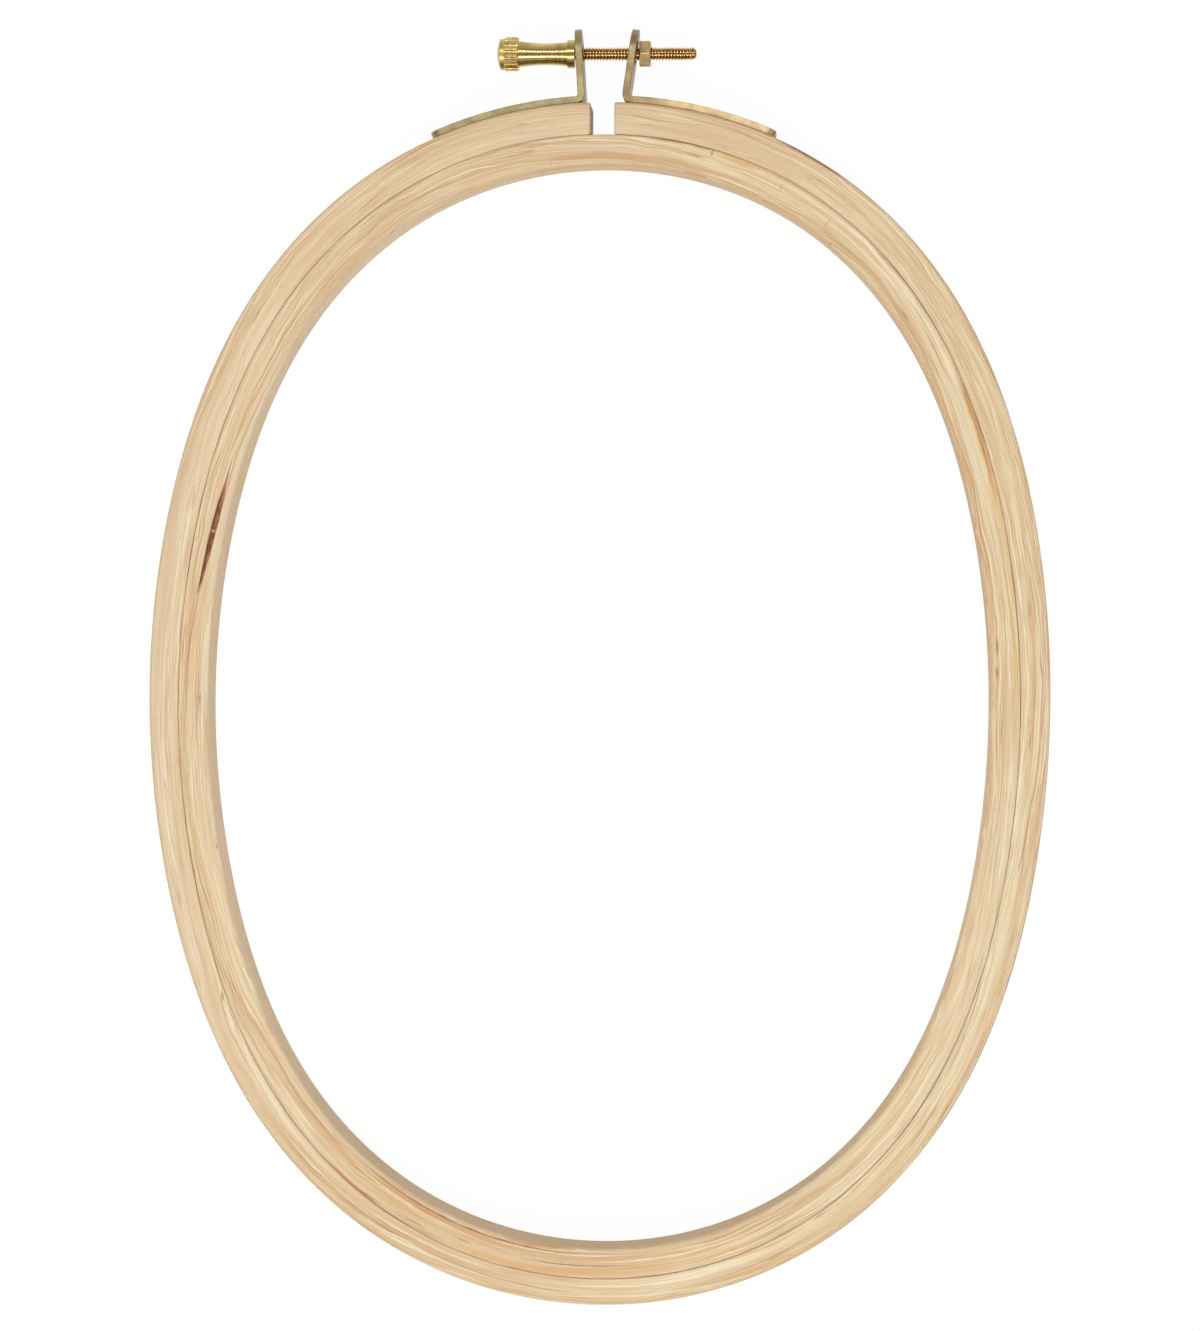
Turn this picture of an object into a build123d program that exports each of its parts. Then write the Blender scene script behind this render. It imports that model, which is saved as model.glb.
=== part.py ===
from build123d import *
import math
import os

# Oval wooden embroidery hoop with a brass screw clamp. It lies flat: +Z is the axis of the
# rings, their back faces are on z = 0, the clamp is towards +Y and the origin is the centre
# of the oval. A turn is an angle in degrees, clockwise from the clamp as seen from the front.
# Left is -X and right is +X, and a side is -1 for left and 1 for right.

# Hoop
hoop_length = 304.8
hoop_width = 228.6
hoop_depth = 16.0

# Outline: an ellipse with fuller shoulders, a little out of true as steam-bent wood is
shoulder_share = 0.0143
flank_share = 0.0041
skew_share = 0.0034
skew_turn = 125.4
outline_points = 60

# Wooden strips
outer_wall_at_clamp = 8.3
outer_wall_at_foot = 6.7
inner_wall = 7.2
ring_clearance = 0.2
outside_edge_round = 1.2
seam_edge_round = 0.5
inside_edge_round = 1.0

# Split of the outer ring: each end's distance from the middle plane
left_end_offset = 2.7
right_end_offset = 3.4
end_round = 0.8

# Open scarf joint in the front face of the inner ring
scarf_turns = (-76.0, -67.5, -58.0)
scarf_inset_shares = (0.47, 0.7, 0.75)
scarf_opening = 1.4
scarf_depth = 3.0

# Bent metal strips: a foot along the wood and a leaning lug for the screw
strip_width = 12.4
strip_thickness = 1.8
strip_bend = 0.6
strip_corner = 2.3
strip_seat_gap = 0.05
foot_length = 39.0
left_lug_offset = 5.8
left_lug_lean = 3.5
right_lug_offset = 7.75
right_lug_lean = 8.0
screw_height = 13.1
lug_hole_clearance = 0.75

# Countersunk brads that hold the strips on the wood
brad_shares = (0.3, 0.8)
brad_head_diameter = 3.4
brad_head_depth = 0.9
brad_shank_diameter = 1.6
brad_length = 6.8
brad_point = 1.4
brad_clearance = 0.05

# Threaded rod, with a plain shank inside the knob
rod_diameter = 3.5
rod_root_diameter = 2.64
thread_pitch = 0.794
thread_crest = 0.12
rod_tip_offset = 23.9
rod_tip_chamfer = 0.5
shank_diameter = 2.6
shank_depth = 12.0

# Spool-shaped thumb knob: cap, fluted grip, waist and foot, from its free end
knob_end_offset = 7.1
knob_cap_diameter = 7.8
knob_cap_length = 1.9
knob_dome = 0.9
grip_diameter = 8.6
grip_length = 3.6
grip_chamfer = 0.3
flute_count = 16
flute_width = 0.9
waist_length = 12.5
waist_start_diameter = 6.7
waist_least_diameter = 5.46
waist_end_diameter = 6.1
waist_least_share = 0.6
knob_foot_diameter = 7.2
knob_foot_length = 1.8
knob_clearance = 0.03

# Hexagon nut
nut_offset = 9.45
nut_across_flats = 6.35
nut_thickness = 2.85
nut_chamfer = 0.35
nut_turn = 5.0
nut_bore_clearance = 0.05

# Length by which a cutting shape runs past what it cuts
overrun = 5.0


def side_value(side, left, right):
    """The one of two values that belongs to a side."""
    return left if side < 0 else right


def outline_radius(turn):
    """Distance from the centre to the outer face of the outer ring."""
    angle = math.radians(turn)
    ellipse = 1 / math.hypot(2 * math.sin(angle) / hoop_width, 2 * math.cos(angle) / hoop_length)
    shoulder = shoulder_share * (1 - math.cos(4 * angle))
    flank = flank_share * (math.cos(2 * angle) - math.cos(6 * angle))
    skew = skew_share * math.cos(3 * angle - math.radians(skew_turn))
    return ellipse * (1 + shoulder + flank + skew)


def outline_point(turn):
    """Point of the outline, on the plane of the back faces."""
    radius = outline_radius(turn)
    return Vector(radius * math.sin(math.radians(turn)), radius * math.cos(math.radians(turn)))


def inward(turn):
    """Unit vector square to the outline, pointing into the oval."""
    half_step = 180 / outline_points
    along = outline_point(turn + half_step) - outline_point(turn - half_step)
    return Vector(along.Y, -along.X).normalized()


def inset_point(turn, inset):
    """Point of the outline moved into the oval by an inset."""
    return outline_point(turn) + inward(turn) * inset


def outer_wall(turn):
    """Thickness of the outer ring, which is greatest beside the clamp."""
    middle = (outer_wall_at_clamp + outer_wall_at_foot) / 2
    swing = (outer_wall_at_clamp - outer_wall_at_foot) / 2
    return middle + swing * math.cos(math.radians(turn))


def no_inset(turn):
    """Inset of the outer face of the outer ring."""
    return 0


def seam_inset(turn):
    """Inset of the outer face of the inner ring."""
    return outer_wall(turn) + ring_clearance


def field_inset(turn):
    """Inset of the inner face of the inner ring, where the open field begins."""
    return seam_inset(turn) + inner_wall


def strip_back_inset(turn):
    """Inset of the face of a metal strip that lies on the wood."""
    return -strip_seat_gap


def strip_front_inset(turn):
    """Inset of the outer face of a metal strip."""
    return -strip_seat_gap - strip_thickness


def turn_after(start, length, side):
    """Turn that is reached from a start by following the outline for a length."""
    step = side * math.degrees(2 * length / hoop_length) / (outline_points * outline_points)
    turn = start
    gone = 0
    while gone < length:
        gone += (outline_point(turn + step) - outline_point(turn)).length
        turn += step
    return turn


middle_height = hoop_depth / 2
screw_axis_y = outline_radius(0) + screw_height
screw_place = Pos(0, screw_axis_y, middle_height)


def outline_face(inset):
    """Flat face inside a smooth closed curve that follows the outline at an inset."""
    turns = [360 * index / outline_points for index in range(outline_points)]
    return make_face(Spline(*[inset_point(turn, inset(turn)) for turn in turns], periodic=True))


def corner_face(*corners):
    """Flat face inside straight lines through corners."""
    return make_face(Polyline(*corners, close=True))


def round_long_edges(strip, outer_round, inner_round):
    """The wooden strip with its four longest edges rounded, those of its outer face being longest."""
    strip = fillet(strip.edges().sort_by(SortBy.LENGTH)[-4:-2], inner_round)
    return fillet(strip.edges().sort_by(SortBy.LENGTH)[-2:], outer_round)


def area_between(low_x, high_x, low_y, high_y):
    """Flat rectangle between two X and two Y places."""
    return Pos((low_x + high_x) / 2, (low_y + high_y) / 2) * Rectangle(high_x - low_x, high_y - low_y)


def nearest_edge(solid, x, y):
    """Edge whose middle is nearest to a place at mid-depth."""
    place = Vector(x, y, middle_height)
    return solid.edges().sort_by(lambda edge: (edge.center() - place).length)[0]


def scarf_cut():
    """Lens-shaped opening that crosses the inner ring at a slant, open at its front face."""
    places = []
    for turn, share in zip(scarf_turns, scarf_inset_shares):
        places.append(inset_point(turn, seam_inset(turn) + share * inner_wall))
    low, middle, high = places
    bulge = inward(scarf_turns[1]) * (scarf_opening / 2)
    edges = [ThreePointArc(low, middle + bulge, high), ThreePointArc(high, middle - bulge, low)]
    return Pos(0, 0, hoop_depth - scarf_depth) * extrude(make_face(edges), scarf_depth + overrun)


def inner_ring():
    """Closed inner ring, which the cloth is laid over, with its open scarf joint."""
    ring = extrude(outline_face(seam_inset) - outline_face(field_inset), hoop_depth)
    return round_long_edges(ring - scarf_cut(), seam_edge_round, inside_edge_round)


def brad_shape(allowance):
    """Countersunk brad along local -Z from its flat head, made larger all round by an allowance."""
    head = brad_head_diameter / 2 + allowance
    shank = brad_shank_diameter / 2 + allowance
    neck_z = -brad_head_depth - allowance
    shoulder_z = brad_point - brad_length
    tip_z = -brad_length - allowance
    corners = [(0, allowance), (head, allowance), (shank, neck_z), (shank, shoulder_z), (0, tip_z)]
    return revolve(Plane.XZ * corner_face(*corners), Axis.Z)


def lug_lean(side):
    """Lean of a lug, in radians, away from the middle plane at its top."""
    return math.radians(side_value(side, left_lug_lean, right_lug_lean))


def lug_base_x(side):
    """Place along X where the middle of a lug meets the wood."""
    offset = side_value(side, left_lug_offset, right_lug_offset)
    return side * (offset - screw_height * math.tan(lug_lean(side)))


def foot_turns(side):
    """Turns at which a strip's foot starts, under its lug, and ends."""
    start = math.degrees(math.atan2(lug_base_x(side), outline_radius(0)))
    return start, turn_after(start, foot_length, side)


def brad_frames(side):
    """Frames of a strip's brads: at the strip's outer face, with local +Z out of the wood."""
    start, end = foot_turns(side)
    frames = []
    for share in brad_shares:
        turn = start + share * (end - start)
        surface = inset_point(turn, strip_front_inset(turn))
        origin = Vector(surface.X, surface.Y, middle_height)
        frames.append(Plane(origin=origin, x_dir=(0, 0, 1), z_dir=-inward(turn)).location)
    return frames


def brads(side):
    """The brads of one strip, as separate solids."""
    return Compound([frame * brad_shape(0) for frame in brad_frames(side)])


def without_brad_holes(solid, side):
    """The solid with the holes that one strip's brads fill."""
    for frame in brad_frames(side):
        solid = solid - frame * brad_shape(brad_clearance)
    return solid


def outer_ring_half(side):
    """Half of the outer ring, from its end at the clamp to the middle plane opposite."""
    reach = side * hoop_width
    end = side * side_value(side, left_end_offset, right_end_offset)
    face = outline_face(no_inset) - outline_face(outer_wall)
    face = face & area_between(min(0, reach), max(0, reach), -hoop_length, hoop_length)
    face = face - area_between(min(0, end), max(0, end), 0, hoop_length)
    half = without_brad_holes(extrude(face, hoop_depth), side)
    half = round_long_edges(half, outside_edge_round, seam_edge_round)
    end_face = half.faces().filter_by(Axis.X).sort_by(Axis.Y)[-1]
    return fillet(end_face.edges(), end_round)


def lug_frame(side):
    """Plane of a lug at its hole: local X is across the strip, local Y is up the leaning lug."""
    offset = side_value(side, left_lug_offset, right_lug_offset)
    across = Vector(math.cos(lug_lean(side)), -side * math.sin(lug_lean(side)))
    return Plane(origin=(side * offset, screw_axis_y, middle_height), x_dir=(0, 0, -1), z_dir=across)


def bracket(side):
    """Metal strip that follows the outer ring and then bends out into a round-ended lug."""
    frame = lug_frame(side)
    base_x = lug_base_x(side)
    end = foot_turns(side)[1]
    back = outline_face(strip_back_inset)
    front = outline_face(strip_front_inset)

    # Foot: the part of a band round the wood that lies between the lug and a square end
    band = Pos(0, 0, middle_height - strip_width / 2) * extrude(front - back, strip_width)
    inner_corner = inset_point(end, hoop_width / 4)
    outer_corner = inset_point(end, -screw_height)
    reach = corner_face((base_x, inner_corner.Y), (base_x, screw_axis_y), outer_corner, inner_corner)
    foot = band & extrude(reach, hoop_depth)

    # Lug: a plate with a half-round end, cut off where it meets the wood
    plate = Circle(strip_width / 2) + Pos(0, -screw_height) * Rectangle(strip_width, 2 * screw_height)
    lug = extrude(frame * plate, strip_thickness / 2, both=True) - extrude(back, hoop_depth)
    strip = foot + lug

    # Rounded bend, outside and inside, and rounded corners at the foot's end
    base_y = outline_radius(0)
    half_strip = side * strip_thickness / 2
    bend = nearest_edge(strip, base_x - half_strip, base_y)
    strip = fillet(bend, strip_bend + strip_thickness)
    bend = nearest_edge(strip, base_x + half_strip, base_y + strip_thickness)
    strip = fillet(bend, strip_bend)
    tip = inset_point(end, strip_front_inset(end) / 2)
    tip_middle = Vector(tip.X, tip.Y, middle_height)
    tip_face = strip.faces().sort_by(lambda face: (face.center() - tip_middle).length)[0]
    strip = fillet(tip_face.edges().sort_by(SortBy.LENGTH)[:2], strip_corner)

    # Clearance hole for the rod
    hole = Rot(0, 90, 0) * Cylinder(rod_diameter / 2 + lug_hole_clearance, strip_width)
    strip = strip - Pos(*frame.origin) * hole
    return without_brad_holes(strip, side)


def turned(*profile):
    """Solid turned about the screw axis from a closed profile of edges or corners."""
    return screw_place * revolve(corner_face(*profile), Axis.X)


def thread_ridge(start_x, end_x):
    """Right-hand ridge of the rod's thread between two places, swept along a helix."""
    root = rod_root_diameter / 2
    crest_height = rod_diameter / 2 - root
    half_root = (thread_pitch - thread_crest) / 2
    sink = thread_crest / 2
    path = Helix(pitch=thread_pitch, height=end_x - start_x - thread_pitch, radius=root)
    corners = [
        (-sink, -half_root),
        (-sink, half_root),
        (crest_height, thread_crest / 2),
        (crest_height, -thread_crest / 2),
    ]
    section = Plane(origin=path @ 0, x_dir=path @ 0, z_dir=path % 0) * corner_face(*corners)
    ridge = sweep(section, path=path, is_frenet=True)
    return screw_place * Pos(start_x + thread_pitch / 2, 0, 0) * Rot(0, 90, 0) * ridge


def threaded_rod():
    """Rod with a plain shank for the knob, a cut thread and a chamfered tip."""
    root = rod_root_diameter / 2
    start_x = -knob_end_offset + strip_seat_gap
    shank_x = -knob_end_offset - shank_depth
    chamfer_x = rod_tip_offset - rod_tip_chamfer
    core = turned(
        (shank_x, 0),
        (shank_x, shank_diameter / 2),
        (start_x, shank_diameter / 2),
        (start_x, root),
        (chamfer_x, root),
        (rod_tip_offset, root - rod_tip_chamfer),
        (rod_tip_offset, 0),
    )
    return core + thread_ridge(start_x, chamfer_x)


def thumb_knob():
    """Spool-shaped knob with a domed cap, a fluted grip and a blind hole for the rod's shank."""
    foot_x = -knob_end_offset
    waist_end = foot_x - knob_foot_length
    waist_start = waist_end - waist_length
    grip_start = waist_start - grip_length
    cap_start = grip_start - knob_cap_length
    least_x = waist_start + waist_least_share * waist_length
    shank_x = foot_x - shank_depth - knob_clearance
    bore = shank_diameter / 2 + knob_clearance
    cap = knob_cap_diameter / 2
    grip = grip_diameter / 2
    waist_curve = ThreePointArc(
        (waist_start, waist_start_diameter / 2),
        (least_x, waist_least_diameter / 2),
        (waist_end, waist_end_diameter / 2),
    )
    dome_bulge = (cap_start + knob_dome / 4, cap / 2)
    dome_curve = ThreePointArc((cap_start, 0), dome_bulge, (cap_start + knob_dome, cap))
    grip_line = Polyline(
        (cap_start + knob_dome, cap),
        (grip_start, cap),
        (grip_start, grip - grip_chamfer),
        (grip_start + grip_chamfer, grip),
        (waist_start - grip_chamfer, grip),
        (waist_start, grip - grip_chamfer),
        (waist_start, waist_start_diameter / 2),
    )
    foot_line = Polyline(
        (waist_end, waist_end_diameter / 2),
        (waist_end, knob_foot_diameter / 2),
        (foot_x, knob_foot_diameter / 2),
        (foot_x, bore),
        (shank_x, bore),
        (shank_x, 0),
        (cap_start, 0),
    )
    knob = revolve(make_face([dome_curve, grip_line, waist_curve, foot_line]), Axis.X)
    flute = Rot(0, 90, 0) * Cylinder(flute_width / 2, grip_length)
    for index in range(flute_count):
        angle = 360 * index / flute_count
        knob = knob - Rot(angle, 0, 0) * Pos(grip_start + grip_length / 2, grip, 0) * flute
    return screw_place * knob


def hex_nut():
    """Hexagon nut with chamfered corners and a bore that runs on the crests of the thread."""
    end_x = nut_offset + nut_thickness
    flats = nut_across_flats / 2
    corner = nut_across_flats / math.sqrt(3)
    hexagon = Plane.YZ * RegularPolygon(flats, 6, major_radius=False, rotation=nut_turn - 30)
    prism = Pos(nut_offset, 0, 0) * extrude(hexagon, nut_thickness)
    bore = Cylinder(rod_diameter / 2 + nut_bore_clearance, 2 * overrun)
    prism = prism - Pos(nut_offset, 0, 0) * Rot(0, 90, 0) * bore
    envelope = turned(
        (nut_offset, 0),
        (nut_offset, flats),
        (nut_offset + nut_chamfer, corner),
        (end_x - nut_chamfer, corner),
        (end_x, flats),
        (end_x, 0),
    )
    return screw_place * prism & envelope


nodes = {
    "inner_ring": inner_ring(),
    "outer_ring_left": outer_ring_half(-1),
    "outer_ring_right": outer_ring_half(1),
    "left_bracket": bracket(-1),
    "right_bracket": bracket(1),
    "left_bracket_brads": brads(-1),
    "right_bracket_brads": brads(1),
    "thumb_knob": thumb_knob(),
    "threaded_rod": threaded_rod(),
    "hex_nut": hex_nut(),
}

os.makedirs("parts", exist_ok=True)
for name, shape in nodes.items():
    export_step(shape, f"parts/{name}.step")
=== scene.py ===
import math
import bmesh
import bpy
import numpy as np
from mathutils import Matrix, Vector


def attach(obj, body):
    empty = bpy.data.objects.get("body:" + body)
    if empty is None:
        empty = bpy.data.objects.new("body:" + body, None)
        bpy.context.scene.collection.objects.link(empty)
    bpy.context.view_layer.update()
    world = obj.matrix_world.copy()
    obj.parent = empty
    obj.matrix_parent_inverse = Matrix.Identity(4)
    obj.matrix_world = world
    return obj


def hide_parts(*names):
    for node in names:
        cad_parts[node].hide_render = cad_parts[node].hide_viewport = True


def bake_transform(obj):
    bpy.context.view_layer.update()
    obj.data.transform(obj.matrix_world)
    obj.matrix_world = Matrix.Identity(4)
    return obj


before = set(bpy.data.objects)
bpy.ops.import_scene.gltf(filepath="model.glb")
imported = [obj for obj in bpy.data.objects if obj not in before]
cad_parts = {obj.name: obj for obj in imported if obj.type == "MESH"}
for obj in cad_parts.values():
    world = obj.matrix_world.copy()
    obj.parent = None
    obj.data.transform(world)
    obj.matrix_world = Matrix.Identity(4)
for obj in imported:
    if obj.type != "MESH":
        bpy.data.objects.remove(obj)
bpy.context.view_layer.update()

# The hoop lies flat, +Z is out of its front face, the clamp is towards +Y and lengths are in
# millimetres until a mesh is made. A turn is an angle in degrees, clockwise from the clamp.
MM = 0.001
HOOP_LENGTH, HOOP_WIDTH, HOOP_DEPTH = 304.8, 228.6, 16.0
SHOULDER, FLANK, SKEW, SKEW_TURN = 0.0143, 0.0041, 0.0034, 125.4
WALL_AT_CLAMP, WALL_AT_FOOT, INNER_WALL, SEAM_GAP = 8.3, 6.7, 7.2, 0.2
# The photographed rings touch, so the seam is drawn this much narrower than the solids' gap, and the
# outer ring stays a hair inside the solids' outer face.
SEAM_CLOSED, HELD_IN = (0.11, 0.19), 0.006
OUTSIDE_ROUND, SEAM_ROUND, INSIDE_ROUND, END_ROUND = 1.2, 0.12, 1.0, 0.6
CORNER_COLUMNS, OUTER_COLUMNS = 6, 18
OUTER_ROWS, INNER_ROWS, SLIT_ROW_STEP = 990, 430, 0.22
OUTER_RUN_INSET, INNER_RUN_INSET = 3.5, 11.0
# The split: X of its two ends, and the length over which a strip's end turns square to X.
LEFT_END, RIGHT_END, SQUARED_OVER = -2.7, 3.4, 14.0
# The scarf joint of the inner ring: the share of the wall that its line has crossed at three turns, and
# the slopes at which it carries on. The front's columns follow it between two limits and let go of it
# over a number of degrees. The slit's width and depth go along it from 0 to 1, and across the slit its
# floor sinks by shares of that depth.
SCARF_TURNS, SCARF_SHARES, SCARF_SLOPES = (-76.0, -67.5, -58.0), (0.47, 0.7, 0.75), (0.022, 0.016)
SCARF_LIMITS, SCARF_FADE, SLIT_COLUMN_GAP = (0.15, 0.85), 20, 0.012
SLIT_WIDTH = ([0.0, 0.13, 0.27, 0.4, 0.54, 0.68, 0.755, 0.825, 0.9, 1.0],
              [0, 0.6, 1.05, 1.4, 1.55, 1.2, 0.8, 0.36, 0.16, 0])
SLIT_DEPTH = ([0.0, 0.1, 0.35, 0.65, 0.8, 0.9, 1.0], [0, 1.2, 1.9, 1.5, 0.5, 0.2, 0])
SLIT_ACROSS = np.array([-1, -0.94, -0.86, -0.5, 0, 0.45, 0.8, 0.97, 1])
SLIT_SINK = np.array([0, 0.75, 1, 1, 0.92, 0.8, 0.62, 0.4, 0])
# The clamp: the screw's axis and the middle of each lug on it.
SCREW_Y, SCREW_Z = 165.2, 8.0
LEFT_LUG, RIGHT_LUG = 5.8, 7.75


# Shapes of the wooden strips

def outline_radius(turn):
    """Distance from the centre to the outer face: an ellipse, a little fuller at its shoulders and
    flanks, with a slight three-lobed skew."""
    angle = np.radians(turn)
    ellipse = 1 / np.hypot(2 * np.sin(angle) / HOOP_WIDTH, 2 * np.cos(angle) / HOOP_LENGTH)
    fuller = SHOULDER * (1 - np.cos(4 * angle)) + FLANK * (np.cos(2 * angle) - np.cos(6 * angle))
    return ellipse * (1 + fuller + SKEW * np.cos(3 * angle - np.radians(SKEW_TURN)))


def outline_point(turn):
    """Point of the outer face at each turn: the radius times the sine and the cosine of the turn."""
    angle = np.radians(turn)
    return outline_radius(turn)[:, None] * np.stack([np.sin(angle), np.cos(angle)], 1)


def inward(turn):
    """Unit vector into the oval at each turn, square to the line through the points 3 degrees away."""
    along = outline_point(turn + 3) - outline_point(turn - 3)
    along /= np.linalg.norm(along, axis=1, keepdims=True)
    return np.stack([along[:, 1], -along[:, 0]], 1)


def outer_wall(turn):
    """Thickness of the outer ring: its mean plus half its difference times the cosine of the turn."""
    middle, swing = (WALL_AT_CLAMP + WALL_AT_FOOT) / 2, (WALL_AT_CLAMP - WALL_AT_FOOT) / 2
    return middle + swing * np.cos(np.radians(turn))


def length_along(turn, inset):
    """Length of the line at an inset, added up from the first turn to each of the others."""
    places = outline_point(turn) + inward(turn) * inset
    return np.concatenate([[0.0], np.cumsum(np.linalg.norm(np.diff(places, axis=0), axis=1))])


def ripple(run, wave, start):
    """Slow uneven swing between 0 and 1 along a run: three sines whose waves don't line up."""
    angle = 2 * np.pi * run / wave + start
    return 0.5 + 0.5 * (0.5 * np.sin(angle) + 0.3 * np.sin(2.3 * angle + 1) + 0.2 * np.sin(5.1 * angle + 2))


def strip_section(front, outside_round, inside_round, wall_columns=10, back_columns=8):
    """Insets and heights round a strip's section on every row, as a share of the wall, an offset
    from it and a height: outside top corner, front face, inside top corner, inside wall, inside
    bottom corner, back, outside bottom corner and outside wall. A corner of radius r is the points
    r(1 - cos a), r(1 - sin a) from its two faces, and front holds the shares of the front's columns."""
    rows = front.shape[0]
    front = front[:, 1:-1]
    outer, inner = outside_round * np.ones((rows, 1)), inside_round * np.ones((rows, 1))
    angle = np.linspace(0, np.pi / 2, CORNER_COLUMNS)[None, :]
    fall, rise = 1 - np.cos(angle), 1 - np.sin(angle)
    down = np.linspace(0, 1, wall_columns)[None, 1:-1]
    back = np.linspace(1, 0, back_columns)[None, 1:-1] * np.ones((rows, 1))
    none, corner = np.zeros((rows, wall_columns - 2)), np.ones((rows, CORNER_COLUMNS))
    share = [0 * corner, front, corner, none + 1, corner, back, 0 * corner, none]
    offset = [outer * fall, (1 - front) * outer - front * inner, -inner * rise, none,
              -inner * fall, (1 - back) * outer - back * inner, outer * rise, none]
    height = [HOOP_DEPTH - outer * rise, HOOP_DEPTH + 0 * front, HOOP_DEPTH - inner * fall,
              HOOP_DEPTH - inner - down * (HOOP_DEPTH - 2 * inner), inner * rise, 0 * back,
              outer * fall, outer + down * (HOOP_DEPTH - 2 * outer)]
    return np.hstack(share), np.hstack(offset), np.hstack(height)


def placed_mesh(name, points, faces, corner_values=None, point_values=None):
    """Smooth mesh from points in millimetres, with values kept at the face corners and the points."""
    mesh = bpy.data.meshes.new(name)
    mesh.from_pydata((points * MM).tolist(), [], faces)
    mesh.polygons.foreach_set("use_smooth", np.ones(len(faces), bool))
    for domain, kept in (("CORNER", corner_values), ("POINT", point_values)):
        for label, values in (kept or {}).items():
            form, key = ("FLOAT_VECTOR", "vector") if values.ndim == 2 else ("FLOAT", "value")
            layer = mesh.attributes.new(label, form, domain)
            layer.data.foreach_set(key, values.astype(np.float32).ravel())
    mesh.update()
    piece = bpy.data.objects.new(name, mesh)
    bpy.context.scene.collection.objects.link(piece)
    return piece


def skin(name, places, corner_rows, point_rows, closed=False):
    """Closed surface over rows of points that each go once round a section. Every four neighbours
    make a face. A closed one joins its last row to its first, and its corner rows have one row
    more, so that a length along the strip jumps between two faces and not across one. An open one
    draws in to one point at each end."""
    rows, around = places.shape[:2]
    i, j = np.meshgrid(np.arange(rows if closed else rows - 1), np.arange(around), indexing="ij")
    corners = [(i, j), (i, (j + 1) % around), (i + 1, (j + 1) % around), (i + 1, j)]
    faces = np.stack([(a % rows) * around + b for a, b in corners], -1).reshape(-1, 4).tolist()
    points = places.reshape(-1, 3)
    at_corners = {}
    for label, values in corner_rows.items():
        spread = np.stack([values[a, b] for a, b in corners], 2)
        at_corners[label] = [spread.reshape(-1, *values.shape[2:])]
    at_points = {label: values.reshape(-1) for label, values in point_rows.items()}
    if not closed:
        j, k = np.arange(around), (np.arange(around) + 1) % around
        for pole, a, b, row in ((len(points), k, j, 0), (len(points) + 1, j, k, rows - 1)):
            faces += np.stack([np.full(around, pole), a + row * around, b + row * around], 1).tolist()
            for label, values in corner_rows.items():
                middle = np.repeat(values[row].mean(0)[None], around, 0)
                fan = np.stack([middle, values[row, a], values[row, b]], 1)
                at_corners[label].append(fan.reshape(-1, *values.shape[2:]))
        points = np.vstack([points, places[0].mean(0), places[-1].mean(0)])
        for label, values in point_rows.items():
            at_points[label] = np.append(at_points[label], [values[0].mean(), values[-1].mean()])
    at_corners = {label: np.concatenate(values) for label, values in at_corners.items()}
    return placed_mesh(name, points, faces, at_corners, at_points)


def outer_ring():
    """Bent strip from the right end of the split round the bottom to the left end. Its section
    follows the outline. Near an end the rows are sheared to lie square to X, shrink by the depth
    of a quarter circle to round the end's edges, and then draw in over the flat end."""
    radius = outline_radius(np.zeros(1))[0]
    right_turn = math.degrees(math.asin(RIGHT_END / radius))
    left_turn = 360 + math.degrees(math.asin(LEFT_END / radius))
    angle = np.linspace(0, np.pi / 2, 7)
    gone = END_ROUND * (1 - np.cos(angle))
    lost = END_ROUND * (1 - np.sin(angle))
    draw = np.array([0.15, 0.45, 0.75])
    step = np.degrees(1 / radius)
    middle = np.linspace(right_turn + 1.2 * step, left_turn - 1.2 * step, OUTER_ROWS)
    turn = np.concatenate([np.full(3, right_turn), right_turn + gone * step, middle,
                           left_turn - gone[::-1] * step, np.full(3, left_turn)])
    lost = np.concatenate([np.full(3, END_ROUND), lost, 0 * middle, lost[::-1], np.full(3, END_ROUND)])
    draw = np.concatenate([draw, np.ones(len(turn) - 6), draw[::-1]])[:, None]
    run = length_along(turn, OUTER_RUN_INSET)
    front = np.ones((len(turn), 1)) * np.linspace(0, 1, OUTER_COLUMNS)[None, :]
    seam_round = SEAM_ROUND * (0.7 + 0.7 * ripple(run, wave=61.0, start=0.4))[:, None]
    share, offset, height = strip_section(front, OUTSIDE_ROUND, seam_round)
    wall = outer_wall(turn)[:, None]
    half, middle_height = wall / 2, HOOP_DEPTH / 2
    inset = share * wall + offset
    inset = np.maximum(half + (inset - half) * (1 - lost[:, None] / half) * draw, HELD_IN)
    height = middle_height + (height - middle_height) * (1 - lost[:, None] / middle_height) * draw
    across = inward(turn)
    flat = outline_point(turn)[:, None, :] + across[:, None, :] * inset[..., None]
    for end, row, away in ((RIGHT_END, 0, run), (LEFT_END, -1, run[-1] - run)):
        leaning = outline_point(turn[row:][:1])[0, 0] + across[row, 0] * inset
        flat[..., 0] += (end - leaning) * np.clip(1 - away / SQUARED_OVER, 0, 1)[:, None] ** 2
    places = np.dstack([flat, height])
    grain = np.dstack([run[:, None] + 0 * inset, inset, height])
    return skin("outer_ring", places, {"grain": grain}, {"seam": wall - inset})


def scarf_share(turn):
    """Where the scarf line lies across the inner ring, from 0 at the seam to 1 at the field: a
    parabola through its three places, carried on straight beyond them."""
    a, b, c = SCARF_TURNS
    p, q, r = SCARF_SHARES
    inside = (p * (turn - b) * (turn - c) / ((a - b) * (a - c))
              + q * (turn - a) * (turn - c) / ((b - a) * (b - c))
              + r * (turn - a) * (turn - b) / ((c - a) * (c - b)))
    before, beyond = p + (turn - a) * SCARF_SLOPES[0], r + (turn - c) * SCARF_SLOPES[1]
    return np.where(turn < a, before, np.where(turn > c, beyond, inside))


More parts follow.
